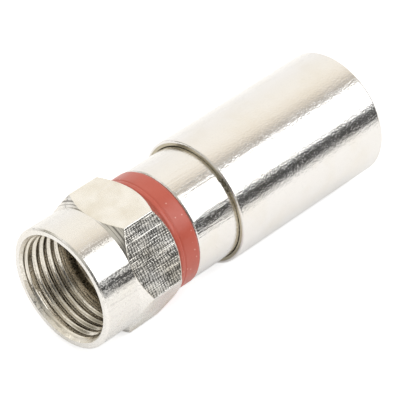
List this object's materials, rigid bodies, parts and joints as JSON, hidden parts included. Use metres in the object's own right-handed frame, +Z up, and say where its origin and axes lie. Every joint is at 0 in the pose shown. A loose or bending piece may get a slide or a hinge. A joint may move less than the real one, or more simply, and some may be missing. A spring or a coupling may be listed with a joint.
{
  "type": "f connector",
  "caption": "Compression coaxial plug with a free-turning hexagonal coupling nut, a red rubber seal behind it and a sliding sleeve that clamps the cable.",
  "frame": {"origin": "centre of the post's front face, the plane that meets the mating port", "axes": "+X along the connector's axis, out of the nut's mouth; +Z up, with the connector lying on its side and one flat of the hexagon down"},
  "size_m": [0.0324, 0.0126, 0.0114],
  "materials": {
    "nickel_plate": "turned brass with bright nickel plating",
    "red_silicone": "moulded, satin",
    "black_rubber": "moulded, satin",
    "acetal": "natural white, moulded"
  },
  "bodies": {
    "body": {"connector_body": "nickel_plate", "post": "nickel_plate", "seal_ring": "red_silicone", "nut_o_ring": "black_rubber"},
    "nut": {"coupling_nut": "nickel_plate"},
    "sleeve": {"compression_sleeve": "nickel_plate", "grip_ring": "acetal"}
  },
  "joints": [
    {"name": "nut_spin", "type": "hinge", "parent": "body", "child": "nut", "pos_m": [0, 0, 0], "axis": [1, 0, 0], "continuous": true},
    {"name": "sleeve_slide", "type": "slide", "parent": "body", "child": "sleeve", "axis": [1, 0, 0], "range_m": [0, 0.0042]}
  ]
}
